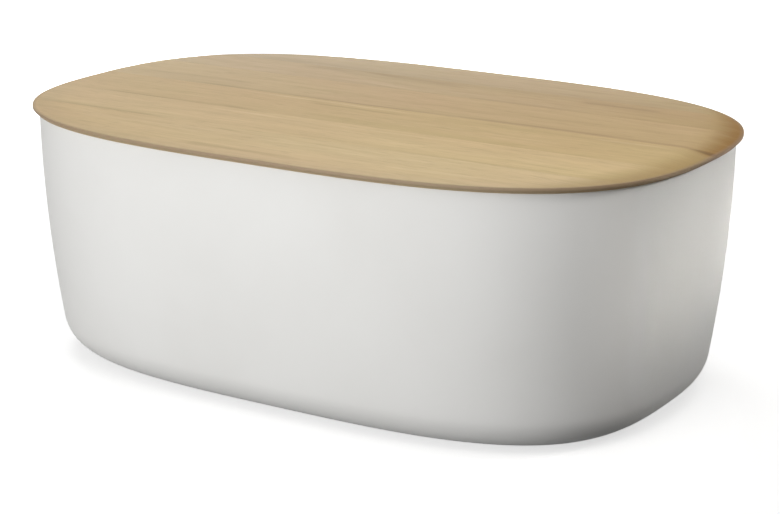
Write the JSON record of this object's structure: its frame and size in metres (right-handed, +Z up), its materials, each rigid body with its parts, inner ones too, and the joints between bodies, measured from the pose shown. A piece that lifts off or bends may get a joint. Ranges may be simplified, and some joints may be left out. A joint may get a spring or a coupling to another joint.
{
  "type": "bread box",
  "caption": "Rounded oblong bread box: a white moulded shell closed by a lift-off lid of glued wooden staves, whose thin lip overhangs the rim.",
  "frame": {"origin": "on the table under the middle of the box", "axes": "+X along the box's length, -Y towards its front, +Z up"},
  "size_m": [0.345, 0.225, 0.125],
  "materials": {
    "shell_white": "satin moulded, plain white",
    "lid_wood": "pale oak, oiled",
    "silicone": "matte pale grey silicone"
  },
  "bodies": {
    "box": {"box_shell": "shell_white", "foot_front_left": "silicone", "foot_front_right": "silicone", "foot_rear_left": "silicone", "foot_rear_right": "silicone"},
    "lid": {"lid_stave_1": "lid_wood", "lid_stave_2": "lid_wood", "lid_stave_3": "lid_wood", "lid_stave_4": "lid_wood", "lid_stave_5": "lid_wood", "lid_stave_6": "lid_wood", "lid_seal": "silicone"}
  },
  "joints": [
    {"name": "lid_lift", "type": "slide", "parent": "box", "child": "lid", "axis": [0, 0, 1], "range_m": [0, 0.16]}
  ]
}
